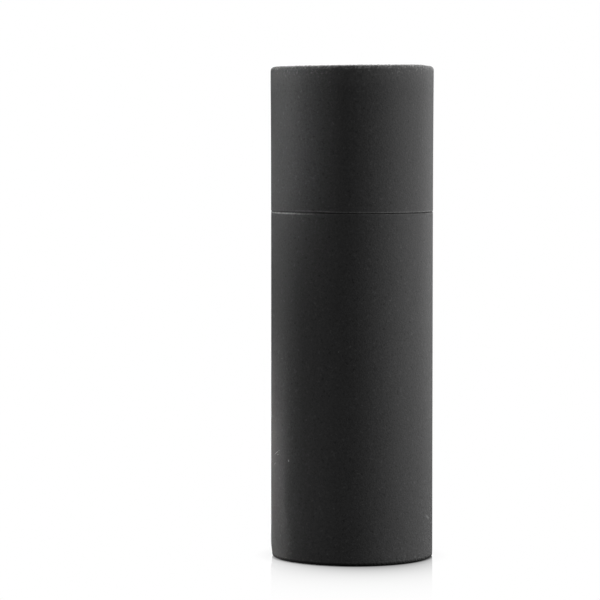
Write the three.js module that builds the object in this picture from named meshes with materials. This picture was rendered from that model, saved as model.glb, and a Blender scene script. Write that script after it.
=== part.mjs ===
// A round mailing tube of wound paperboard that stands on its end, with its pull-off lid pushed home.
// Two outer shells of one diameter meet at a seam. A neck tube, glued inside the body, rises into
// the lid and guides it. The far end of each shell is folded inwards, and its lip holds a board disc.
// Millimetres, +Z up. The origin is on the floor, on the tube's axis.

import * as THREE from "three";

// Outer shells
const OUTER_RADIUS = 51;
const SHELL_WALL = 2;
const BODY_HEIGHT = 218;
const LID_HEIGHT = 91.7;
const SEAM_GAP = 0.3;

// Folded ends: the wall turns back into the tube around a slit, and has a narrow flat on its crown
const FOLD_SLIT = 2.2;
const FOLD_CROWN = 0.6;
const LIP_LENGTH = 0.7;

// How far a pressed-in disc has stretched the shell around it
const LID_SWELL = 0.3;
const FOOT_SWELL = 0.1;

// End discs
const DISC_THICKNESS = 2;
const DISC_CLEARANCE = 0.15;

// Neck
const NECK_WALL = 1.8;
const NECK_CLEARANCE = 0.3;
const NECK_HEADROOM = 25.2;

// The eased edges of a cut end
const EDGE_EASE = 0.4;

// Smoothness of the faceted surfaces
const ROUND_STEPS = 72;
const FOLD_STEPS = 3;
const SLIT_STEPS = 4;
const SWELL_STEPS = 4;

// The lip starts where the bend around the slit ends, and the disc lies against the lip's end.
const LIP_DEPTH = SHELL_WALL + FOLD_SLIT / 2 + LIP_LENGTH;
const DISC_SEAT = LIP_DEPTH + DISC_THICKNESS;

const coverPaper = new THREE.MeshStandardMaterial({
  color: 0x353536,
  roughness: 0.82,
  metalness: 0,
});
const neckPaper = new THREE.MeshStandardMaterial({
  color: 0x2e2e2f,
  roughness: 0.78,
  metalness: 0,
});
const discPaper = new THREE.MeshStandardMaterial({
  color: 0x333334,
  roughness: 0.85,
  metalness: 0,
});

// A point of a section: its distance from the axis, and its depth into the tube from the end.
const point = (radius, depth) => new THREE.Vector2(radius, depth);

// An arc of a section, both ends included. At 90 degrees it faces out of the tube's end.
function arc(centre, size, fromDegrees, toDegrees, steps) {
  const points = [];
  for (let step = 0; step <= steps; step++) {
    const degrees = THREE.MathUtils.lerp(fromDegrees, toDegrees, step / steps);
    const turn = THREE.MathUtils.degToRad(degrees);
    points.push(
      point(
        centre.x + size * Math.cos(turn),
        centre.y - size * Math.sin(turn),
      ),
    );
  }
  return points;
}

// A cut end, from the outer face of the wall to the inner one.
function cutEnd(outerRadius, innerRadius) {
  const ease = Math.min(EDGE_EASE, (outerRadius - innerRadius) / 3);
  return [
    point(outerRadius, ease),
    point(outerRadius - ease, 0),
    point(innerRadius + ease, 0),
    point(innerRadius, ease),
  ];
}

// A folded end, from the outer face of the wall over the crown, down the lip and back up its slit.
function foldedEnd(outerRadius) {
  const foldWidth = 2 * SHELL_WALL + FOLD_SLIT;
  const bend = (foldWidth - FOLD_CROWN) / 2;
  const lipInside = outerRadius - foldWidth;
  const lipOutside = lipInside + SHELL_WALL;
  const slitRound = FOLD_SLIT / 2;
  const slitCentre = point(lipOutside + slitRound, SHELL_WALL + slitRound);
  return [
    ...arc(point(outerRadius - bend, bend), bend, 0, 90, FOLD_STEPS),
    ...arc(point(lipInside + bend, bend), bend, 90, 180, FOLD_STEPS),
    point(lipInside, LIP_DEPTH),
    point(lipOutside, LIP_DEPTH),
    ...arc(slitCentre, slitRound, 180, 0, SLIT_STEPS),
  ];
}

// One face of a shell's wall from the disc's seat to the cut end. The swell eases away along it.
function swollenFace(radius, swell, length) {
  const points = [];
  for (let step = 0; step < SWELL_STEPS; step++) {
    const along = step / SWELL_STEPS;
    const depth = THREE.MathUtils.lerp(DISC_SEAT, length, along);
    points.push(point(radius + swell * (1 - along) ** 2, depth));
  }
  return points;
}

// A shell's closed outline: the outer face, the cut end, the inner face and the fold.
function shellOutline(length, swell) {
  const innerRadius = OUTER_RADIUS - SHELL_WALL;
  const cut = cutEnd(OUTER_RADIUS, innerRadius);
  return [
    ...swollenFace(OUTER_RADIUS, swell, length),
    ...cut.map((p) => point(p.x, length - p.y)),
    ...swollenFace(innerRadius, swell, length).reverse(),
    ...foldedEnd(OUTER_RADIUS + swell).reverse(),
  ];
}

// A section is turned about the tube's axis. It runs up its outer face and down its inner one.
function turned(outline) {
  const closed = [...outline, outline[0].clone()];
  return new THREE.LatheGeometry(closed, ROUND_STEPS).rotateX(Math.PI / 2);
}

// An end disc, sized to the shell around it, with its lower face at height 0.
function disc(swell) {
  const radius = OUTER_RADIUS + swell - SHELL_WALL - DISC_CLEARANCE;
  return new THREE.CylinderGeometry(radius, radius, DISC_THICKNESS, ROUND_STEPS)
    .rotateX(Math.PI / 2)
    .translate(0, 0, DISC_THICKNESS / 2);
}

function piece(name, geometry, material, height) {
  const mesh = new THREE.Mesh(geometry, material);
  mesh.name = name;
  mesh.position.z = height;
  return mesh;
}

// The body's shell stands with its fold on the floor.
function bodyTube() {
  const outline = shellOutline(BODY_HEIGHT, FOOT_SWELL);
  return piece("body_tube", turned(outline), coverPaper, 0);
}

// The base disc lies on the lip of that fold.
function baseDisc() {
  return piece("base_disc", disc(FOOT_SWELL), discPaper, LIP_DEPTH);
}

// The neck stands on the base disc, and ends below the lid's disc.
function neckTube() {
  const outerRadius = OUTER_RADIUS - SHELL_WALL - NECK_CLEARANCE;
  const top = BODY_HEIGHT + SEAM_GAP + LID_HEIGHT - DISC_SEAT - NECK_HEADROOM;
  const length = top - DISC_SEAT;
  const end = cutEnd(outerRadius, outerRadius - NECK_WALL);
  const outline = [
    ...end.map((p) => point(p.x, length - p.y)),
    ...end.reverse(),
  ];
  return piece("neck_tube", turned(outline), neckPaper, DISC_SEAT);
}

// The lid's shell is made as the body's is and turned over, so its cut end meets the body.
function lidTube() {
  const outline = shellOutline(LID_HEIGHT, LID_SWELL)
    .map((p) => point(p.x, LID_HEIGHT - p.y))
    .reverse();
  return piece("lid_tube", turned(outline), coverPaper, 0);
}

// The lid's disc lies under the lip of the lid's fold.
function lidDisc() {
  return piece("lid_disc", disc(LID_SWELL), discPaper, LID_HEIGHT - DISC_SEAT);
}

const body = new THREE.Group();
body.add(bodyTube(), baseDisc(), neckTube());

const lid = new THREE.Group();
lid.position.z = BODY_HEIGHT + SEAM_GAP;
lid.add(lidTube(), lidDisc());

const mailingTube = new THREE.Group();
mailingTube.add(body, lid);

export default mailingTube;
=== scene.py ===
# A round mailing tube of matt black paperboard, standing on its foot with its pull-off lid home.
# Lengths are in metres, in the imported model's frame: Z is the tube's axis, the camera looks along +Y.
import math
from collections import namedtuple

import bmesh
import bpy
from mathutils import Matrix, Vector


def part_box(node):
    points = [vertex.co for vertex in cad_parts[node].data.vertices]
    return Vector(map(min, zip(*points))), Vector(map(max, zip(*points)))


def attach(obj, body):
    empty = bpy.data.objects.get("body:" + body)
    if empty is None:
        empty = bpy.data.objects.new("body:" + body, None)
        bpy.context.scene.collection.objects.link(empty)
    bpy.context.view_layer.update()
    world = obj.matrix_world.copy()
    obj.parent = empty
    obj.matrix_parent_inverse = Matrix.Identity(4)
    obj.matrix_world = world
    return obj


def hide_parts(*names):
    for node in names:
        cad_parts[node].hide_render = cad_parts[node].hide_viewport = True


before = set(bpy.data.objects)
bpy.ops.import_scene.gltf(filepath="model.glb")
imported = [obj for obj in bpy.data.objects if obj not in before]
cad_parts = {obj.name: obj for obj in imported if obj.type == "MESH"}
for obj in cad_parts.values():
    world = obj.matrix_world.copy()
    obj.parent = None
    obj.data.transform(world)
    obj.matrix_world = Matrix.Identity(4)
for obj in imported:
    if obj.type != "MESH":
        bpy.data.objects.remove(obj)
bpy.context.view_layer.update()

MM = 0.001

# The board's walls and folded ends, as the solids have them
SHELL_WALL = 2.0 * MM
NECK_WALL = 1.8 * MM
NECK_CLEARANCE = 0.3 * MM
FOLD_SLIT = 2.2 * MM
FOLD_CROWN = 0.6 * MM

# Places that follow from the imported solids
body_low, body_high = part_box("body_tube")
lid_low, lid_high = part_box("lid_tube")
neck_low, neck_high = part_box("neck_tube")
base_low, base_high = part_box("base_disc")
cap_low, cap_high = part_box("lid_disc")
RADIUS = neck_high.x + NECK_CLEARANCE + SHELL_WALL
FOOT_SWELL = body_high.x - RADIUS
LID_SWELL = lid_high.x - RADIUS
LIP_DEPTH = base_low.z - body_low.z
DISC_SEAT = base_high.z - body_low.z

# Finer than the solids: the foot's outer bend is pressed tight by standing, cut edges are eased, and
# a disc is dished inside a flat border
FOOT_BEND = 1.5 * MM
CUT_EASE = 0.45 * MM
DISC_EASE = 0.3 * MM
DISC_DISH = 0.25 * MM
DISC_BORDER = 7.0 * MM

# Smoothness of the turned surfaces
SHELL_ROUND_STEPS = 768
ROUND_STEPS = 384
BEND_STEPS = 9
EDGE_STEPS = 4
FINE_EDGE_STEPS = 6
WALL_STEP = 9.0 * MM
DISC_STEP = 3.0 * MM
MERGE = 0.001 * MM

# The camera, fitted to the photograph's outline, seam and foot
PICTURE = 600
FOCAL_PIXELS = 3094
SENSOR = 36.0
CAMERA_DISTANCE = 38.23 * RADIUS
CAMERA_HEIGHT = 5.459 * RADIUS
CAMERA_PITCH = math.radians(3.417)
CAMERA_TURN = math.radians(0.963)

# The sockets of a Mix node for colours, by their place in its lists
MIX_FACTOR, MIX_FIRST, MIX_SECOND, MIX_RESULT = 0, 6, 7, 2


class Wire:
    """A value in a node tree. Arithmetic on it adds Math nodes to that tree."""

    def __init__(self, nodes, socket):
        self.nodes = nodes
        self.socket = socket

    def __add__(self, other):
        return self.nodes.math("ADD", self, other)

    def __sub__(self, other):
        return self.nodes.math("SUBTRACT", self, other)

    def __mul__(self, other):
        return self.nodes.math("MULTIPLY", self, other)

    def __truediv__(self, other):
        return self.nodes.math("DIVIDE", self, other)

    def __pow__(self, other):
        return self.nodes.math("POWER", self, other)

    def __mod__(self, other):
        return self.nodes.math("FLOORED_MODULO", self, other)

    def __radd__(self, other):
        return self.nodes.math("ADD", other, self)

    def __rsub__(self, other):
        return self.nodes.math("SUBTRACT", other, self)

    def __rmul__(self, other):
        return self.nodes.math("MULTIPLY", other, self)

    def __rtruediv__(self, other):
        return self.nodes.math("DIVIDE", other, self)

    def __abs__(self):
        return self.nodes.math("ABSOLUTE", self)

    def __gt__(self, other):
        return self.nodes.math("GREATER_THAN", self, other)


class Nodes:
    """A node tree while it is being built."""

    def __init__(self, tree):
        self.tree = tree

    def make(self, kind, settings=None, inputs=None, out=0):
        """Adds a node: its settings first, then its sockets' values or links. Returns one output."""
        node = self.tree.nodes.new(kind)
        for name, value in (settings or {}).items():
            setattr(node, name, value)
        for key, value in (inputs or {}).items():
            if isinstance(value, Wire):
                self.tree.links.new(value.socket, node.inputs[key])
            else:
                node.inputs[key].default_value = value
        return Wire(self, node.outputs[out]) if len(node.outputs) else node

    def math(self, operation, *values):
        return self.make("ShaderNodeMath", {"operation": operation}, dict(enumerate(values)))

    def noise(self, where, size, detail=2.0, roughness=0.5):
        """Noise from 0 to 1 whose lumps are about this size."""
        sockets = {"Vector": where, "Scale": 1 / size, "Detail": detail, "Roughness": roughness}
        return self.make("ShaderNodeTexNoise", {}, sockets)

    def ease(self, value, start, end):
        """0 before start, 1 past end, and smooth between them. Start may be the larger."""
        sockets = {"Value": value, "From Min": start, "From Max": end}
        return self.make("ShaderNodeMapRange", {"interpolation_type": "SMOOTHSTEP"}, sockets)

    def vector(self, x, y, z):
        return self.make("ShaderNodeCombineXYZ", {}, {"X": x, "Y": y, "Z": z})

    def split(self, vector):
        node = self.tree.nodes.new("ShaderNodeSeparateXYZ")
        self.tree.links.new(vector.socket, node.inputs[0])
        return [Wire(self, socket) for socket in node.outputs]

    def distance(self, x, y):
        """How far a place is from the tube's axis."""
        return (x * x + y * y) ** 0.5

    def scaled(self, colour, factor):
        """A colour made lighter or darker by a factor."""
        return self.make("ShaderNodeVectorMath", {"operation": "SCALE"}, {0: colour, "Scale": factor})

    def mixed(self, factor, first, second):
        """A mix of two colours."""
        sockets = {MIX_FACTOR: factor, MIX_FIRST: first, MIX_SECOND: second}
        return self.make("ShaderNodeMix", {"data_type": "RGBA"}, sockets, out=MIX_RESULT)


# Sections. A point has its distance from the axis, its depth into the tube from the folded end, the
# surface it lies on, and how strongly the fold's pleats show there.
Point = namedtuple("Point", "radius depth surface pleat", defaults=(0.0,))
COVER, BOARD, LINING = range(3)
LIP_PLEATS = 1.0
LIP_END_PLEATS = 0.7
CROWN_PLEATS = 0.15


def arc(centre, size, start, end, surface, pleats=(0.0, 0.0), steps=BEND_STEPS):
    """Points on an arc, both ends included. At 90 degrees it faces out of the tube's end."""
    points = []
    for step in range(steps + 1):
        share = step / steps
        turn = math.radians(start + (end - start) * share)
        radius = centre[0] + size * math.cos(turn)
        depth = centre[1] - size * math.sin(turn)
        points.append(Point(radius, depth, surface, pleats[0] + (pleats[1] - pleats[0]) * share))
    return points


def between(start, end, step=WALL_STEP):
    """Depths from start to end, both included, closer together near both ends."""
    count = max(2, round(abs(end - start) / step * math.pi / 2))
    return [start + (end - start) * (1 - math.cos(math.pi * k / count)) / 2 for k in range(count + 1)]


def cut_end(outer, inner, length):
    """A cut end's two eased edges, from the outer face of the wall to the inner one."""
    edges = arc((outer - CUT_EASE, CUT_EASE), CUT_EASE, 0, 90, COVER, steps=FINE_EDGE_STEPS)
    edges += arc((inner + CUT_EASE, CUT_EASE), CUT_EASE, 90, 180, BOARD, steps=EDGE_STEPS)
    return [p._replace(depth=length - p.depth) for p in edges]


def folded_end(outer, outer_bend):
    """A folded end, from the inner face of the wall round the slit and the lip to the outer face."""
    width = 2 * SHELL_WALL + FOLD_SLIT
    bend = (width - FOLD_CROWN) / 2
    outer_bend = outer_bend or bend
    lip_inside = outer - width
    lip_outside = lip_inside + SHELL_WALL
    slit = FOLD_SLIT / 2
    return [
        *arc((lip_outside + slit, SHELL_WALL + slit), slit, 0, 180, LINING, steps=FINE_EDGE_STEPS),
        Point(lip_outside, LIP_DEPTH, BOARD),
        Point(lip_inside, LIP_DEPTH, BOARD, LIP_END_PLEATS),
        Point(lip_inside, (LIP_DEPTH + bend) / 2, COVER, LIP_PLEATS),
        *arc((lip_inside + bend, bend), bend, 180, 90, COVER, (LIP_PLEATS, CROWN_PLEATS)),
        *arc((outer - outer_bend, outer_bend), outer_bend, 90, 0, COVER, (CROWN_PLEATS, 0.0)),
    ]


def shell_section(length, swell, outer_bend=None):
    """A shell's closed section: the outer face, the cut end, the inner face and the fold."""
    def swollen(radius, depth):
        along = max(0.0, (depth - DISC_SEAT) / (length - DISC_SEAT))
        return radius + swell * (1 - along) ** 2

    inner = RADIUS - SHELL_WALL
    fold = folded_end(RADIUS + swell, outer_bend)
    cut = cut_end(RADIUS, inner, length)
    outer_depths = between(fold[-1].depth, cut[0].depth)[1:-1]
    inner_depths = between(cut[-1].depth, fold[0].depth)[1:-1]
    return [
        *[Point(swollen(RADIUS, d), d, COVER) for d in outer_depths],
        *cut,
        *[Point(swollen(inner, d), d, LINING) for d in inner_depths],
        *fold,
    ]


def neck_section(length):
    """The neck's closed section, a plain wall with two cut ends."""
    outer, inner = neck_high.x, neck_high.x - NECK_WALL
    top = cut_end(outer, inner, length)
    foot = [p._replace(depth=length - p.depth) for p in reversed(top)]
    depths = between(foot[-1].depth, top[0].depth)[1:-1]
    return [
        *[Point(outer, d, LINING) for d in depths],
        *top,
        *[Point(inner, d, LINING) for d in reversed(depths)],
        *foot,
    ]


def disc_section(radius, thickness):
    """A disc's open section, from the axis under it to the axis above. Depth is measured upwards."""
    def sag(r):
        return DISC_DISH * max(0.0, 1 - r / (radius - DISC_BORDER)) ** 0.5

    radii = between(0.0, radius - DISC_EASE, DISC_STEP)
    low = [Point(r, sag(r), COVER) for r in radii]
    high = [Point(r, thickness - sag(r), COVER) for r in reversed(radii)]
    edge = arc((radius - DISC_EASE, DISC_EASE), DISC_EASE, 90, 0, BOARD, steps=EDGE_STEPS)
    rim = edge + [p._replace(depth=thickness - p.depth) for p in reversed(edge)]
    return low[:-1] + rim + high[1:]


# What each point of a section tells the turning
SECTION_VALUES = ("surface", "pleat", "from_cut", "from_fold")


def outline_mesh(name, points, fold_z, length, cut_ends, upwards=True):
    """The section as a row of vertices in the XZ plane, with what the turning needs as attributes."""
    mesh = bpy.data.meshes.new(name)
    places = [(p.radius, 0.0, fold_z + (p.depth if upwards else -p.depth)) for p in points]
    mesh.from_pydata(places, [(k, k + 1) for k in range(len(points) - 1)], [])
    nowhere = [length] * len(points)
    from_cut = [min(length - p.depth, p.depth if cut_ends == 2 else length) for p in points]
    values = (
        [float(p.surface) for p in points],
        [p.pleat for p in points],
        from_cut if cut_ends else nowhere,
        [p.depth for p in points] if cut_ends == 1 else nowhere,
    )
    for attribute, numbers in zip(SECTION_VALUES, values):
        layer = mesh.attributes.new(attribute, "FLOAT", "POINT")
        layer.data.foreach_set("value", numbers)
    return mesh


# The turning's inputs. Lean, waviness, gap, dent, depth and height are in metres.
TURNING_INPUTS = {
    "NodeSocketInt": ("Round steps", "Closed"),
    "NodeSocketFloat": (
        "Cut lean", "Cut waviness", "Left gap",
        "Fold lean", "Fold waviness", "Fold side", "Rim dent",
        "Out of round", "Pleat depth", "Crimp depth", "Crush depth",
        "Lap angle", "Lap height", "Seed",
    ),
    "NodeSocketMaterial": ("Cover", "Board", "Lining"),
}

# The faults' sizes along the tube. A pair says where a fault starts and where it is full.
END_REACH = 12.0 * MM
CUT_REACH = 2.0 * MM
LAP_WIDTH = 10.0 * MM
LAP_FADE = 7.0 * MM
CRIMP_REACH = (4.6 * MM, 1.2 * MM)
CRIMP_TO_SIDE = (0.3 * MM, 1.8 * MM)
CRUSH_REACH = (8.5 * MM, 0.5 * MM)
BULGE_HEIGHT = 11.0 * MM
BULGE_REACH = 8.0 * MM

# The faults' sizes round the tube: lumps as shares of the radius, places as cosines of the angle
CRUSH_HALF_ANGLE = math.radians(34)
ROUND_LUMP = 0.9
ROUND_TWIST = 14.0
CUT_LUMP = 0.12
FOLD_LUMP = 0.35
PLEAT_SIZE = 0.085
CRIMP_SIZE = 0.030
CRIMP_SLANT = 0.9
GAP_OPENS = (-0.10, -0.50)
GAP_CLOSES = (-0.86, -0.99)
DENT_PLACE = (0.84, 1.0)

# The faults' strengths
CRIMP_EDGE = 0.34
PLEAT_POWER = 0.7
CRUSH_SHARE = 1.25
BULGE_SHARE = 0.25
GAP_CLOSING = 1.25

# Which points count as outside: those on the cover, and not on the pleated lip
COVER_ONLY = (0.5, 0.0)
LIP_LEAVES = (1.0, 0.3)

# A face that lies half on one surface and half on the next gets the next one's material
ZONE_MARGIN = 0.6


class Turning:
    """Turns a section about Z into a closed wall, with the small faults of rolled and glued board."""

    def __init__(self, tree):
        self.n = Nodes(tree)
        entry = tree.nodes.new("NodeGroupInput")
        self.given = {socket.name: Wire(self.n, socket) for socket in entry.outputs if socket.name}
        self.spread_section()
        n = self.n
        self.near_cut = n.ease(self.from_cut, END_REACH, 0.0)
        self.near_fold = n.ease(self.from_fold, END_REACH, 0.0)
        self.outside = n.ease(self.surface, *COVER_ONLY) * n.ease(self.pleat, *LIP_LEAVES)
        self.crimp()

    def attribute(self, name):
        return self.n.make("GeometryNodeInputNamedAttribute", {"data_type": "FLOAT"}, {"Name": name})

    def spread_section(self):
        """A grid with a column of section points for each step round, and what each point tells."""
        n, section = self.n, self.given["Section"]
        count = n.make("GeometryNodeAttributeDomainSize", {}, {"Geometry": section})
        rows = count + self.given["Closed"]
        sizes = {"Vertices X": self.given["Round steps"] + 1, "Vertices Y": rows}
        self.grid = n.make("GeometryNodeMeshGrid", {}, sizes)
        index = n.make("GeometryNodeInputIndex")
        column = n.math("FLOOR", index / rows)
        row = (index - column * rows) % count

        def sampled(value, data_type="FLOAT"):
            sockets = {"Geometry": section, "Value": value, "Index": row}
            return n.make("GeometryNodeSampleIndex", {"data_type": data_type}, sockets)

        values = [sampled(self.attribute(name)) for name in SECTION_VALUES]
        self.surface, self.pleat, self.from_cut, self.from_fold = values
        place = sampled(n.make("GeometryNodeInputPosition"), "FLOAT_VECTOR")
        self.radius, _, self.height = n.split(place)
        self.angle = column * (2 * math.pi) / self.given["Round steps"] - math.pi
        self.cosine, self.sine = n.math("COSINE", self.angle), n.math("SINE", self.angle)

    def round_noise(self, size, vertical=0.0, detail=1.0, slant=0.0):
        """Noise from -1 to 1 that closes on itself round the tube. Size is a share of the radius."""
        n = self.n
        slid = self.angle + self.from_fold * (slant / RADIUS)
        level = self.height * vertical + self.given["Seed"]
        where = n.vector(n.math("COSINE", slid), n.math("SINE", slid), level)
        return n.noise(where, size, detail) * 2 - 1

    def crimp(self):
        """Slanted ridges round the fold's bend. Between them the paper is sunk."""
        n = self.n
        ridge = n.ease(self.round_noise(CRIMP_SIZE, slant=CRIMP_SLANT), -CRIMP_EDGE, CRIMP_EDGE)
        crimped = n.ease(self.from_fold, *CRIMP_REACH) * self.outside
        self.ridges = ridge * crimped
        self.sunk = (1 - ridge) * crimped * self.given["Crimp depth"]
        self.side_share = n.ease(self.from_fold, *CRIMP_TO_SIDE)

    def lap(self):
        """The strip where the cover paper lies over its own start. Its far side fades out."""
        n = self.n
        lap = self.angle - self.given["Lap angle"]
        step = 2 * math.pi / SHELL_ROUND_STEPS
        far_side = n.ease(lap, (LAP_WIDTH + LAP_FADE) / RADIUS, LAP_WIDTH / RADIUS)
        return self.given["Lap height"] * (n.ease(lap, 0.0, step) * far_side) * self.outside

    def crush(self):
        """The left side of the folded end pushed in, with a slight bulge beyond it."""
        n = self.n
        left = math.pi - abs(self.angle)
        crush = n.ease(left, CRUSH_HALF_ANGLE, 0.0) * self.given["Crush depth"]
        corner = n.ease(self.from_fold, *CRUSH_REACH) * CRUSH_SHARE
        bulge = n.ease(abs(self.from_fold - BULGE_HEIGHT), BULGE_REACH, 0.0) * BULGE_SHARE
        return crush * (corner - bulge)

    def wall(self):
        """The distance from the axis, with the faults that go across the wall."""
        uneven = 0.5 - 0.5 * self.round_noise(ROUND_LUMP, ROUND_TWIST)
        pleats = abs(self.round_noise(PLEAT_SIZE, detail=2.0)) ** PLEAT_POWER
        wall = self.radius - self.given["Out of round"] * uneven
        wall = wall + self.lap() - self.crush()
        wall = wall - self.given["Pleat depth"] * self.pleat * pleats
        return wall - self.sunk * self.side_share

    def rise(self):
        """How far a point is moved up, by the faults that go along the tube."""
        n, given = self.n, self.given
        at_cut = n.ease(self.from_cut, CUT_REACH, 0.0)
        gap = n.ease(self.cosine, *GAP_OPENS) - n.ease(self.cosine, *GAP_CLOSES) * GAP_CLOSING
        dent = n.ease(self.cosine, *DENT_PLACE)
        rise = self.near_cut * given["Cut lean"] * self.cosine
        rise = rise + at_cut * given["Cut waviness"] * self.round_noise(CUT_LUMP)
        rise = rise + self.near_fold * given["Fold lean"] * (self.cosine - 1)
        rise = rise - self.near_fold * given["Fold waviness"] * abs(self.round_noise(FOLD_LUMP))
        rise = rise - self.sunk * (1 - self.side_share) * given["Fold side"]
        rise = rise + self.near_cut * given["Left gap"] * gap
        return rise - self.near_fold * given["Rim dent"] * dent

    def piece(self):
        """The turned wall, closed and with its three materials."""
        n, wall = self.n, self.wall()
        place = n.vector(wall * self.cosine, wall * self.sine, self.height + self.rise())
        turned = n.make("GeometryNodeSetPosition", {}, {"Geometry": self.grid, "Position": place})
        for name in ("from_cut", "from_fold", "surface", "ridges"):
            sockets = {"Geometry": turned, "Name": name, "Value": getattr(self, name)}
            turned = n.make("GeometryNodeStoreNamedAttribute", {"domain": "POINT"}, sockets)
        turned = n.make("GeometryNodeMergeByDistance", {}, {"Geometry": turned, "Distance": MERGE})
        turned = n.make("GeometryNodeRealizeInstances", {}, {"Geometry": turned})
        zone = self.attribute("surface")
        for name, surface in (("Cover", COVER), ("Board", BOARD), ("Lining", LINING)):
            chosen = zone > surface - ZONE_MARGIN
            sockets = {"Geometry": turned, "Selection": chosen, "Material": self.given[name]}
            turned = n.make("GeometryNodeSetMaterial", {}, sockets)
        return turned


def turning_tree():
    tree = bpy.data.node_groups.new("turned_board", "GeometryNodeTree")
    tree.interface.new_socket("Section", in_out="INPUT", socket_type="NodeSocketGeometry")
    for kind, names in TURNING_INPUTS.items():
        for name in names:
            tree.interface.new_socket(name, in_out="INPUT", socket_type=kind)
    tree.interface.new_socket("Piece", in_out="OUTPUT", socket_type="NodeSocketGeometry")
    turning = Turning(tree)
    turning.n.make("NodeGroupOutput", {}, {0: turning.piece()})
    return tree


turning = turning_tree()
TURNING_IDENTIFIERS = {
    item.name: item.identifier
    for item in turning.interface.items_tree
    if item.item_type == "SOCKET" and item.in_out == "INPUT"
}


def plain_mesh(name, outline, settings):
    """The mesh that the turning makes from an outline. Its modifier goes with its object."""
    seed_object = bpy.data.objects.new(name + "_outline", outline)
    bpy.context.scene.collection.objects.link(seed_object)
    modifier = seed_object.modifiers.new("turning", "NODES")
    modifier.node_group = turning
    values = {key.capitalize().replace("_", " "): value for key, value in settings.items()}
    for socket_name, value in {"Round steps": ROUND_STEPS, "Closed": 1, **values}.items():
        modifier[TURNING_IDENTIFIERS[socket_name]] = value
    depsgraph = bpy.context.evaluated_depsgraph_get()
    mesh = bpy.data.meshes.new_from_object(seed_object.evaluated_get(depsgraph))
    bpy.data.objects.remove(seed_object)
    return mesh


def turned_piece(name, outline, body, node, slot, **settings):
    """Turns an outline into one closed piece that rides on a body and stands for its solid."""
    mesh = plain_mesh(name, outline, settings)
    shape = bmesh.new()
    shape.from_mesh(mesh)
    bmesh.ops.recalc_face_normals(shape, faces=shape.faces)
    shape.to_mesh(mesh)
    shape.free()
    mesh.name = name
    mesh.shade_smooth()
    piece = bpy.data.objects.new(name, mesh)
    bpy.context.scene.collection.objects.link(piece)
    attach(piece, body)
    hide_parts(node)
    return piece


# Materials. A pair says where something starts and where it is full: a noise value or a distance.

PAPER_BLACK = (0.050, 0.050, 0.0505)
# The lighter grey of rubbed paper, used also for painted highlights
PAPER_WORN_AND_HIGHLIGHT = (0.40, 0.40, 0.397)
LINING_BLACK = (0.026, 0.026, 0.027)
BOARD_GREY = (0.062, 0.060, 0.057)

# How rough a finish is, how much its tooth changes that, how it shines, and how deep its bumps are
Finish = namedtuple("Finish", "roughness tooth_roughness specular bump")
COVER_FINISH = Finish(0.70, 0.16, 0.42, 0.20 * MM)
BOARD_FINISH = Finish(0.86, 0.10, 0.30, 0.12 * MM)
LINING_FINISH = Finish(0.62, 0.14, 0.42, 0.12 * MM)
DISC_FINISH = Finish(0.76, 0.14, 0.42, 0.12 * MM)


def material(name, build):
    """A material whose Principled node gets the sockets that build returns."""
    made = bpy.data.materials.new(name)
    made.use_nodes = True
    shader = made.node_tree.nodes["Principled BSDF"]
    n = Nodes(made.node_tree)
    for key, value in build(n).items():
        if isinstance(value, Wire):
            made.node_tree.links.new(value.socket, shader.inputs[key])
        else:
            shader.inputs[key].default_value = value
    return made


def finished(n, finish, colour, tooth, height, rougher=0.0):
    """The sockets of a finish. Height is what bumps it, and rougher is roughness added in places."""
    bump = {"Height": height, "Distance": finish.bump, "Strength": 1.0}
    return {
        "Base Color": colour,
        "Roughness": finish.roughness + (tooth - 0.5) * finish.tooth_roughness + rougher,
        "Specular IOR Level": finish.specular,
        "Normal": n.make("ShaderNodeBump", {}, bump),
    }


def here(n):
    return n.make("ShaderNodeTexCoord", out="Object")


def stored(n, name):
    """A number that the turning stored on the surface."""
    return n.make("ShaderNodeAttribute", {"attribute_name": name}, out="Fac")


GRAIN_SIZE = 1.1 * MM
GRAIN_TONE = 1.55
FLECK_SIZE = 2.1 * MM
LIGHT_FLECKS = (0.60, 0.74)
LIGHT_FLECK_TONE = 0.62
DARK_FLECKS = (0.40, 0.27)
DARK_FLECK_TONE = 0.42
CLOUD_SIZE = 24 * MM
CLOUD_TONE = 0.18
GRAIN_SHARE = 0.7
FLECK_SHARE = 0.3


def paper_tooth(n, where):
    """The paper's tone from fine to coarse, about 1, and the height of its tooth."""
    grain = n.noise(where, GRAIN_SIZE, detail=3.0, roughness=0.62)
    fleck = n.noise(where, FLECK_SIZE, detail=2.0, roughness=0.55)
    cloud = n.noise(where, CLOUD_SIZE, detail=2.0)
    light = n.ease(fleck, *LIGHT_FLECKS) * LIGHT_FLECK_TONE
    specks = light - n.ease(fleck, *DARK_FLECKS) * DARK_FLECK_TONE
    tone = 1 + (grain - 0.5) * GRAIN_TONE + specks + (cloud - 0.5) * CLOUD_TONE
    return tone, grain * GRAIN_SHARE + fleck * FLECK_SHARE


def wall_place(picture_x, picture_y):
    """The angle and height at which a place in the photograph meets the wall."""
    right = (picture_x - PICTURE / 2) / FOCAL_PIXELS
    up = (PICTURE / 2 - picture_y) / FOCAL_PIXELS
    forward = Vector((0, math.cos(CAMERA_PITCH), -math.sin(CAMERA_PITCH)))
    upward = Vector((0, math.sin(CAMERA_PITCH), math.cos(CAMERA_PITCH)))
    ray = forward + Vector((right, 0, 0)) + upward * up
    x = ray.x * math.cos(CAMERA_TURN) - ray.y * math.sin(CAMERA_TURN)
    y = ray.x * math.sin(CAMERA_TURN) + ray.y * math.cos(CAMERA_TURN)
    across = x * x + y * y
    half = -CAMERA_DISTANCE * y
    inside = half * half - across * (CAMERA_DISTANCE**2 - RADIUS**2)
    reach = (-half - math.sqrt(max(0.0, inside))) / across
    return math.atan2(-CAMERA_DISTANCE + reach * y, reach * x), CAMERA_HEIGHT + reach * ray.z


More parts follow.
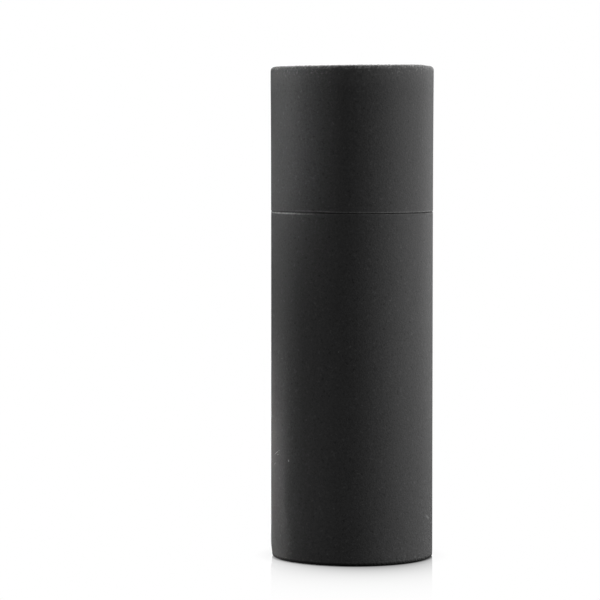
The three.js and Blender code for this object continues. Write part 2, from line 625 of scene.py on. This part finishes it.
# Handling marks: place in the photograph, half length, half width, tilt from level, strength
Mark = namedtuple("Mark", "picture_x picture_y half_length half_width tilt strength")
BODY_MARKS = (
    Mark(276.9, 452.2, 5.4 * MM, 0.27 * MM, 23, 0.75),
    Mark(277.9, 454.6, 1.3 * MM, 0.30 * MM, 8, 0.50),
    Mark(274.9, 463.6, 2.2 * MM, 0.32 * MM, 24, 0.35),
    Mark(288.6, 460.7, 0.75 * MM, 0.60 * MM, 90, 1.0),
    Mark(427.4, 517.0, 3.6 * MM, 1.15 * MM, -24, 0.24),
    Mark(338.5, 352.0, 0.5 * MM, 0.40 * MM, 0, 0.35),
)

# The middle of a mark that has its full strength, as shares of its half length and half width
FULL_LENGTH = 0.55
FULL_WIDTH = 0.3


def mark_mask(n, angle, height, mark):
    """The mark's strength on it and 0 off it."""
    place, level = wall_place(mark.picture_x, mark.picture_y)
    across = (angle - place) * RADIUS
    above = height - level
    tilt = math.radians(mark.tilt)
    along = across * math.cos(tilt) + above * math.sin(tilt)
    beside = above * math.cos(tilt) - across * math.sin(tilt)
    ends = n.ease(abs(along), mark.half_length, mark.half_length * FULL_LENGTH)
    sides = n.ease(abs(beside), mark.half_width, mark.half_width * FULL_WIDTH)
    return ends * sides * mark.strength


# A shell's cover: where its lap is, its marks, how much wear and painted highlight its cut edge has in
# front and at the left, how much wear and painted highlight its folded end has, and how dark the
# painted contact shadow at its foot is
Cover = namedtuple("Cover", "lap_angle marks seam_wear left_seam_wear rim_wear soil")
LID_COVER = Cover(math.radians(68), (), 0.24, 0.07, 1.0, 0.0)
BODY_COVER = Cover(math.radians(104), BODY_MARKS, 0.06, 1.0, 0.25, 0.92)

RUB_SIZE = 1.6 * MM
PIT_SIZE = 1.5 * MM

# The cut edge's lightening is rub wear and partly a painted highlight, strongest at the body's left
# where light catches the edge
SEAM_REACH = (1.20 * MM, 0.65 * MM)
SEAM_RUB = (0.85, 0.30)
LEFT_SIDE = (-16 * MM, -44 * MM)


def seam_rub_and_highlight(n, x, rub, cover):
    """The cut edge, made lighter in patches: rub wear and partly a painted highlight on its eased
    corner, set apart in front and at the left.
    """
    left = n.ease(x, *LEFT_SIDE)
    seam = n.ease(stored(n, "from_cut"), *SEAM_REACH) * n.ease(rub, *SEAM_RUB)
    return seam * (cover.seam_wear + left * (cover.left_seam_wear - cover.seam_wear))


# The folded end's lightening is rub wear and partly a painted highlight on the bend and the crimp tops
BEND_REACH = (3.4 * MM, 0.6 * MM)
BEND_WEAR_AND_HIGHLIGHT = 0.27
GRIP_REACH = (18 * MM, 3 * MM)
GRIP_WEAR = 0.050
OUTER_BEND = (RADIUS - 4.4 * MM, RADIUS - 2.2 * MM)
INNER_BEND_SHARE = 0.25
BEND_RUB = (0.34, 0.66)
LEAST_BEND_RUB = 0.66
BEND_RUB_SHARE = 0.96
RIDGE_TOPS = (0.40, 1.0)
RIDGE_RUB = (0.36, 0.60)
RIDGE_WEAR_AND_HIGHLIGHT = 0.60
SPECK_WEAR = 0.30


def rim_rub_and_highlight(n, radius, from_fold, rub, specks):
    """The folded end made lighter: its bend and the tops of its crimps, rubbed and partly a painted
    highlight from light above, and rubbed specks.
    """
    outer = n.ease(radius, *OUTER_BEND)
    rim = n.ease(from_fold, *BEND_REACH) * BEND_WEAR_AND_HIGHLIGHT + n.ease(from_fold, *GRIP_REACH) * GRIP_WEAR
    rim = rim * (INNER_BEND_SHARE + outer * (1 - INNER_BEND_SHARE))
    rim = rim * (LEAST_BEND_RUB + n.ease(rub, *BEND_RUB) * BEND_RUB_SHARE)
    ridges = n.ease(stored(n, "ridges"), *RIDGE_TOPS) * n.ease(rub, *RIDGE_RUB)
    return rim + ridges * RIDGE_WEAR_AND_HIGHLIGHT + specks * SPECK_WEAR


LAP_EDGE_MIDDLE = 0.3 * MM
LAP_EDGE = (0.35 * MM, 0.1 * MM)
LAP_EDGE_WEAR = 0.06


def lap_rub(n, angle, cover):
    """The edge of the lap, rubbed light."""
    beside = abs((angle - cover.lap_angle) * RADIUS - LAP_EDGE_MIDDLE)
    return n.ease(beside, *LAP_EDGE) * LAP_EDGE_WEAR


HANDLED = (9 * MM, 2 * MM)
LIGHT_PITS = (0.57, 0.73)
DARK_PITS = (0.42, 0.28)
DARK_PIT_TONE = 0.30
MARK_RUB = (0.30, 0.52)
# Painted shade: the lowest millimetres of the foot's bend are darkened to stand for the contact shadow
# where it meets the floor
FOOT_SHADE_REACH = (2.6 * MM, 1.5 * MM)
WORN_SMOOTHER = 0.10


def cover_paper(cover):
    """Uncoated black cover paper: a fine tooth, edges made lighter by wear and partly by painted
    highlights, the edge of its lap, and a painted contact shadow at the foot.
    """
    def build(n):
        where = here(n)
        x, y, z = n.split(where)
        angle = n.math("ARCTAN2", y, x)
        tone, tooth = paper_tooth(n, where)
        rub = n.noise(where, RUB_SIZE, detail=3.0, roughness=0.7)
        pits = n.noise(where, PIT_SIZE, detail=1.0)
        from_fold = stored(n, "from_fold")
        handled = n.ease(from_fold, *HANDLED)
        specks = n.ease(pits, *LIGHT_PITS) * handled

        # Lighter paper: wear, and painted highlights on the cut edge and the folded end
        wear_and_highlight = seam_rub_and_highlight(n, x, rub, cover)
        wear_and_highlight = wear_and_highlight + rim_rub_and_highlight(n, n.distance(x, y), from_fold, rub, specks) * cover.rim_wear
        for mark in cover.marks:
            wear_and_highlight = wear_and_highlight + mark_mask(n, angle, z, mark) * n.ease(rub, *MARK_RUB)
        wear_and_highlight = wear_and_highlight + lap_rub(n, angle, cover)

        tone = tone * (1 - n.ease(pits, *DARK_PITS) * handled * DARK_PIT_TONE)
        paper = n.scaled(PAPER_BLACK, tone)
        colour = n.mixed(n.math("MINIMUM", wear_and_highlight, 1.0), paper, (*PAPER_WORN_AND_HIGHLIGHT, 1))
        # Painted contact shadow: the foot's bend is darkened near the floor
        colour = n.scaled(colour, 1 - n.ease(from_fold, *FOOT_SHADE_REACH) * cover.soil)
        return finished(n, COVER_FINISH, colour, tooth, tooth, wear_and_highlight * -WORN_SMOOTHER)

    return build


PLY = 0.42 * MM
PLY_WANDER = 6 * MM
PLY_WANDER_SHARE = 0.3
PLY_LINE = (0.34, 0.5)
PLY_LINE_DARK = 0.45
PLY_LINE_DEPTH = 0.5


def cut_board(n):
    """The cut end of wound board: thin plies in rings, between two layers of paper."""
    where = here(n)
    x, y, _ = n.split(where)
    tone, tooth = paper_tooth(n, where)
    wander = n.noise(where, PLY_WANDER, detail=1.0) * PLY_WANDER_SHARE
    ply = n.distance(x, y) / PLY + wander
    line = n.ease(abs(ply % 1 - 0.5), *PLY_LINE)
    colour = n.scaled(BOARD_GREY, tone * (1 - line * PLY_LINE_DARK))
    return finished(n, BOARD_FINISH, colour, tooth, tooth - line * PLY_LINE_DEPTH)


LINING_WIDTH = 92.0 * MM
JOINT = (0.35 * MM, 0.105 * MM)
JOINT_DARK = 0.6
JOINT_DEPTH = 1.5
JOINT_ROUGHER = 0.2
BESIDE_JOINT = (2.2 * MM, 0.4 * MM)
# A painted highlight along the raised paper beside the joint
BESIDE_JOINT_HIGHLIGHT = 0.10
BESIDE_HEIGHT = 0.4
SCUFFS_ROUND = 14
SCUFFS_UP = 900
SCUFF_LAYER = 3.0
SCUFFS = (0.62, 0.78)
SCUFF_LIGHT = 0.35
LINING_TOOTH = 0.5


def lining_paper(n):
    """Black lining, wound on in a spiral whose joint shows as a fine dark line with a painted highlight
    beside it, and scuffed along rings.
    """
    where = here(n)
    x, y, z = n.split(where)
    angle = n.math("ARCTAN2", y, x)
    tone, tooth = paper_tooth(n, where)
    turn = z / LINING_WIDTH - angle / (2 * math.pi)
    offset = abs(turn % 1 - 0.5) * LINING_WIDTH
    joint = n.ease(offset, *JOINT)
    beside = n.ease(offset, *BESIDE_JOINT)
    scuff_place = n.vector(angle * SCUFFS_ROUND, z * SCUFFS_UP, SCUFF_LAYER)
    scuff = n.ease(n.noise(scuff_place, 1.0, detail=3.0), *SCUFFS)
    light = 1 - joint * JOINT_DARK + beside * BESIDE_JOINT_HIGHLIGHT + scuff * SCUFF_LIGHT
    height = tooth * LINING_TOOTH - joint * JOINT_DEPTH + beside * BESIDE_HEIGHT
    colour = n.scaled(LINING_BLACK, tone * light)
    return finished(n, LINING_FINISH, colour, tooth, height, joint * JOINT_ROUGHER)


PRESS_RING = 41.5 * MM
PRESS_RING_EDGE = (0.9 * MM, 0.2 * MM)
PRESS_RING_LIGHT = 0.10
PRESS_RING_DEPTH = 0.8
DISC_RUB_SIZE = 18 * MM
DISC_RUB = (0.52, 0.72)
DISC_RUB_LIGHT = 0.16
DISC_RUB_SMOOTHER = 0.06
DISC_TONE = 0.90
DISC_TOOTH = 0.7


def disc_paper(n):
    """Black board of an end disc: tooth, a faint press ring near its edge, and rubbing."""
    where = here(n)
    x, y, _ = n.split(where)
    tone, tooth = paper_tooth(n, where)
    ring = n.ease(abs(n.distance(x, y) - PRESS_RING), *PRESS_RING_EDGE)
    rub = n.ease(n.noise(where, DISC_RUB_SIZE, detail=4.0, roughness=0.65), *DISC_RUB)
    light = DISC_TONE + rub * DISC_RUB_LIGHT + ring * PRESS_RING_LIGHT
    height = tooth * DISC_TOOTH - ring * PRESS_RING_DEPTH
    colour = n.scaled(PAPER_BLACK, tone * light)
    return finished(n, DISC_FINISH, colour, tooth, height, rub * -DISC_RUB_SMOOTHER)


lid_cover = material("lid_cover_paper", cover_paper(LID_COVER))
body_cover = material("body_cover_paper", cover_paper(BODY_COVER))
board = material("cut_board", cut_board)
lining = material("lining_paper", lining_paper)
disc_cover = material("disc_paper", disc_paper)


# Pieces

def body_shell():
    length = body_high.z - body_low.z
    points = shell_section(length, FOOT_SWELL, FOOT_BEND)
    outline = outline_mesh("body_section", points, body_low.z, length, cut_ends=1)
    return turned_piece(
        "body_shell", outline, "body", "body_tube", "cover_paper",
        round_steps=SHELL_ROUND_STEPS, cut_lean=-0.22 * MM, cut_waviness=0.05 * MM, fold_side=-1.0,
        out_of_round=0.06 * MM, pleat_depth=0.22 * MM, crimp_depth=0.20 * MM, crush_depth=0.55 * MM,
        lap_angle=BODY_COVER.lap_angle, lap_height=0.11 * MM, seed=3.0,
        cover=body_cover, board=board, lining=lining,
    )


def lid_shell():
    length = lid_high.z - lid_low.z
    points = shell_section(length, LID_SWELL)
    outline = outline_mesh("lid_section", points, lid_high.z, length, cut_ends=1, upwards=False)
    return turned_piece(
        "lid_shell", outline, "lid", "lid_tube", "cover_paper",
        round_steps=SHELL_ROUND_STEPS, cut_lean=-0.24 * MM, cut_waviness=0.04 * MM,
        left_gap=0.57 * MM, rim_dent=0.65 * MM, fold_lean=0.55 * MM, fold_waviness=0.10 * MM,
        fold_side=1.0, out_of_round=0.04 * MM, pleat_depth=0.22 * MM, crimp_depth=0.20 * MM,
        lap_angle=LID_COVER.lap_angle, lap_height=0.11 * MM, seed=11.0,
        cover=lid_cover, board=board, lining=lining,
    )


def neck_sleeve():
    length = neck_high.z - neck_low.z
    outline = outline_mesh("neck_section", neck_section(length), neck_low.z, length, cut_ends=2)
    return turned_piece(
        "neck_sleeve", outline, "body", "neck_tube", "neck_paper",
        cut_waviness=0.05 * MM, out_of_round=0.03 * MM, seed=17.0,
        cover=lining, board=board, lining=lining,
    )


def end_board(name, low, high, body, node, seed):
    thickness = high.z - low.z
    points = disc_section(high.x, thickness)
    outline = outline_mesh(name + "_section", points, low.z, thickness, cut_ends=0)
    return turned_piece(
        name, outline, body, node, "disc_paper",
        closed=0, seed=seed, cover=disc_cover, board=board, lining=disc_cover,
    )


body_shell()
lid_shell()
neck_sleeve()
end_board("base_board", base_low, base_high, "body", "base_disc", 23.0)
end_board("lid_board", cap_low, cap_high, "lid", "lid_disc", 29.0)


# Studio

FLOOR_HALF = 30.0
FLOOR_GREY = (0.16, 0.16, 0.16, 1)
WHITE = (1, 1, 1, 1)

# The floor's mirror image: its strength, how it fades away from the foot, and how that fade is shaped
MIRROR_SHARE = 0.62
MIRROR_FADE = 30.0 * MM
MIRROR_LEAN = 8.0 * MM
MIRROR_SQUASH = 1.3

# Where the foot meets the floor: ambient occlusion dims the floor's white glow there, a painted contact
# shadow
CONTACT = (2.6 * MM, -1.0 * MM)
TOUCH_REACH = 12.0 * MM
TOUCH_DEPTH = 0.22
TOUCH_SAMPLES = 16

# The weak even light on the tube
AIR_LIGHT = 0.23


def mirror_share(n):
    """How much of the floor is a mirror: less and less away from the foot, and all of it under it."""
    x, y, _ = n.split(here(n))
    away = n.distance((x - MIRROR_LEAN) * MIRROR_SQUASH, y) - RADIUS
    fade = n.math("EXPONENT", away / -MIRROR_FADE)
    share = n.math("MINIMUM", fade, 1.0) * MIRROR_SHARE
    beside = n.distance(x, y) - RADIUS
    return share + n.ease(beside, *CONTACT) * (1 - MIRROR_SHARE)


def floor_material():
    """White to the camera, with a faint mirror image and a contact shadow painted into the white by
    ambient occlusion, and grey to all other light.
    """
    made = bpy.data.materials.new("white_floor")
    made.use_nodes = True
    made.node_tree.nodes.clear()
    n = Nodes(made.node_tree)
    sockets = {"Distance": TOUCH_REACH}
    touch = 1 - n.make("ShaderNodeAmbientOcclusion", {"samples": TOUCH_SAMPLES}, sockets, out="AO")
    glow = 1.0 - touch * TOUCH_DEPTH
    white = n.make("ShaderNodeEmission", {}, {"Color": WHITE, "Strength": glow})
    gloss = n.make("ShaderNodeBsdfGlossy", {}, {"Color": WHITE, "Roughness": 0.0})
    seen = n.make("ShaderNodeMixShader", {}, {0: mirror_share(n), 1: white, 2: gloss})
    paper = n.make("ShaderNodeBsdfDiffuse", {}, {"Color": FLOOR_GREY})
    camera_ray = n.make("ShaderNodeLightPath", out="Is Camera Ray")
    shader = n.make("ShaderNodeMixShader", {}, {0: camera_ray, 1: paper, 2: seen})
    n.make("ShaderNodeOutputMaterial", {}, {"Surface": shader})
    return made


def white_floor():
    corners = [(x * FLOOR_HALF, y * FLOOR_HALF, 0.0) for x, y in ((-1, -1), (1, -1), (1, 1), (-1, 1))]
    mesh = bpy.data.meshes.new("floor")
    mesh.from_pydata(corners, [], [(0, 1, 2, 3)])
    mesh.materials.append(floor_material())
    floor = bpy.data.objects.new("floor", mesh)
    bpy.context.scene.collection.objects.link(floor)


def studio_air():
    """White to the camera and in the floor's mirror image, and a weak even light on the tube."""
    world = bpy.data.worlds.new("studio")
    bpy.context.scene.world = world
    world.use_nodes = True
    n = Nodes(world.node_tree)
    seen = n.make("ShaderNodeLightPath", out="Is Camera Ray")
    seen = seen + n.make("ShaderNodeLightPath", out="Is Singular Ray")
    strength = AIR_LIGHT + n.math("MINIMUM", seen, 1.0) * (1 - AIR_LIGHT)
    background = world.node_tree.nodes["Background"]
    background.inputs["Color"].default_value = WHITE
    world.node_tree.links.new(strength.socket, background.inputs["Strength"])


# A lamp's place round the tube: the angle from +X towards +Y, in degrees, and its heights in metres
Lamp = namedtuple("Lamp", "name angle height aim_height width tall power spread")
LAMP_DISTANCE = 0.95
LAMPS = (
    Lamp("right_softbox", -3, 0.28, 0.18, 0.40, 0.60, 6.0, 180),
    Lamp("right_rear_softbox", 45, 0.28, 0.18, 0.40, 0.60, 3.0, 180),
    Lamp("left_softbox", 180, 0.15, 0.12, 0.20, 0.40, 1.1, 180),
    Lamp("left_high_grid_box", 174, 0.335, 0.335, 0.30, 0.235, 0.099, 10.8),
    Lamp("left_rear_strip", 146, 0.10, 0.10, 0.08, 0.20, 1.2, 180),
    Lamp("left_rear_grid_strip", 136, 0.10, 0.03, 0.06, 0.12, 0.022, 12),
    Lamp("left_front_low_grid_box", 222, 0.04, 0.02, 0.12, 0.12, 0.0016, 12),
    Lamp("overhead_softbox", 90, 1.30, 0.30, 0.50, 0.50, 18, 180),
)


def hang_lamp(lamp):
    """A rectangular studio lamp that faces the tube. A small spread is that of a grid before it."""
    area = bpy.data.lights.new(lamp.name, "AREA")
    area.shape = "RECTANGLE"
    area.size = lamp.width
    area.size_y = lamp.tall
    area.energy = lamp.power
    area.spread = math.radians(lamp.spread)
    turn = math.radians(lamp.angle)
    place = Vector((LAMP_DISTANCE * math.cos(turn), LAMP_DISTANCE * math.sin(turn), lamp.height))
    aim = Vector((0, 0, lamp.aim_height)) - place
    holder = bpy.data.objects.new(lamp.name, area)
    holder.location = place
    holder.rotation_euler = aim.to_track_quat("-Z", "Y").to_euler()
    bpy.context.scene.collection.objects.link(holder)


FARTHEST_SEEN = 100


def camera():
    lens = bpy.data.cameras.new("camera")
    lens.sensor_width = SENSOR
    lens.lens = FOCAL_PIXELS / PICTURE * SENSOR
    lens.clip_end = FARTHEST_SEEN
    holder = bpy.data.objects.new("camera", lens)
    holder.location = (0, -CAMERA_DISTANCE, CAMERA_HEIGHT)
    holder.rotation_euler = (math.pi / 2 - CAMERA_PITCH, 0, CAMERA_TURN)
    bpy.context.scene.collection.objects.link(holder)
    bpy.context.scene.camera = holder


white_floor()
studio_air()
for lamp in LAMPS:
    hang_lamp(lamp)
camera()
bpy.context.scene.view_settings.view_transform = "Standard"
